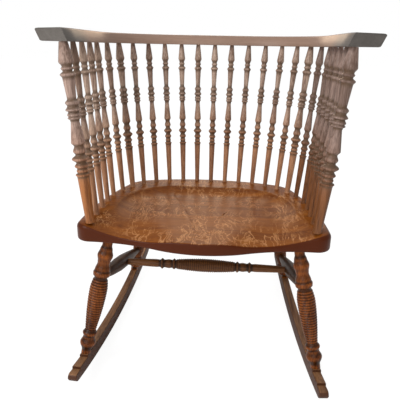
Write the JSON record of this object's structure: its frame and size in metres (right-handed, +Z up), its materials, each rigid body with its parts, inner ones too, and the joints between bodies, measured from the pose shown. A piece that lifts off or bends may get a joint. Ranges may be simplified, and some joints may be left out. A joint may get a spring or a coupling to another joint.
{
  "type": "boston rocking chair",
  "caption": "Low barrel-back rocking chair: a horseshoe arm rail on turned spindles over a carved saddle seat, with splayed reeded legs, turned stretchers and curved rockers.",
  "frame": {"origin": "on the floor under the middle of the bounding box, where the rockers touch at rest", "axes": "+X to the sitter's left as the chair is seen from the front, that is the picture's right; +Y to the back of the chair; +Z up"},
  "size_m": [0.6844, 0.6334, 0.7978],
  "materials": {
    "rail_wood": "aged dark varnish, gloss",
    "turned_wood": "aged reddish-brown varnish, gloss",
    "seat_wood": "reddish-brown varnish over figured oak, gloss",
    "leg_wood": "orange-brown varnish, gloss",
    "rocker_wood": "worn reddish-brown varnish, satin"
  },
  "bodies": {
    "root": {"arm_post_left": "turned_wood", "arm_post_right": "turned_wood", "arm_rail": "rail_wood", "back_post_left": "turned_wood", "back_post_right": "turned_wood", "back_spindle_left_1": "turned_wood", "back_spindle_left_2": "turned_wood", "back_spindle_left_3": "turned_wood", "back_spindle_left_4": "turned_wood", "back_spindle_left_5": "turned_wood", "back_spindle_right_1": "turned_wood", "back_spindle_right_2": "turned_wood", "back_spindle_right_3": "turned_wood", "back_spindle_right_4": "turned_wood", "back_spindle_right_5": "turned_wood", "centre_spindle": "turned_wood", "cross_stretcher": "leg_wood", "front_leg_left": "leg_wood", "front_leg_right": "leg_wood", "rear_leg_left": "leg_wood", "rear_leg_right": "leg_wood", "rocker_left": "rocker_wood", "rocker_right": "rocker_wood", "seat": "seat_wood", "side_spindle_left_1": "turned_wood", "side_spindle_left_2": "turned_wood", "side_spindle_left_3": "turned_wood", "side_spindle_left_4": "turned_wood", "side_spindle_left_5": "turned_wood", "side_spindle_right_1": "turned_wood", "side_spindle_right_2": "turned_wood", "side_spindle_right_3": "turned_wood", "side_spindle_right_4": "turned_wood", "side_spindle_right_5": "turned_wood", "side_stretcher_left": "leg_wood", "side_stretcher_right": "leg_wood"}
  },
  "joints": []
}
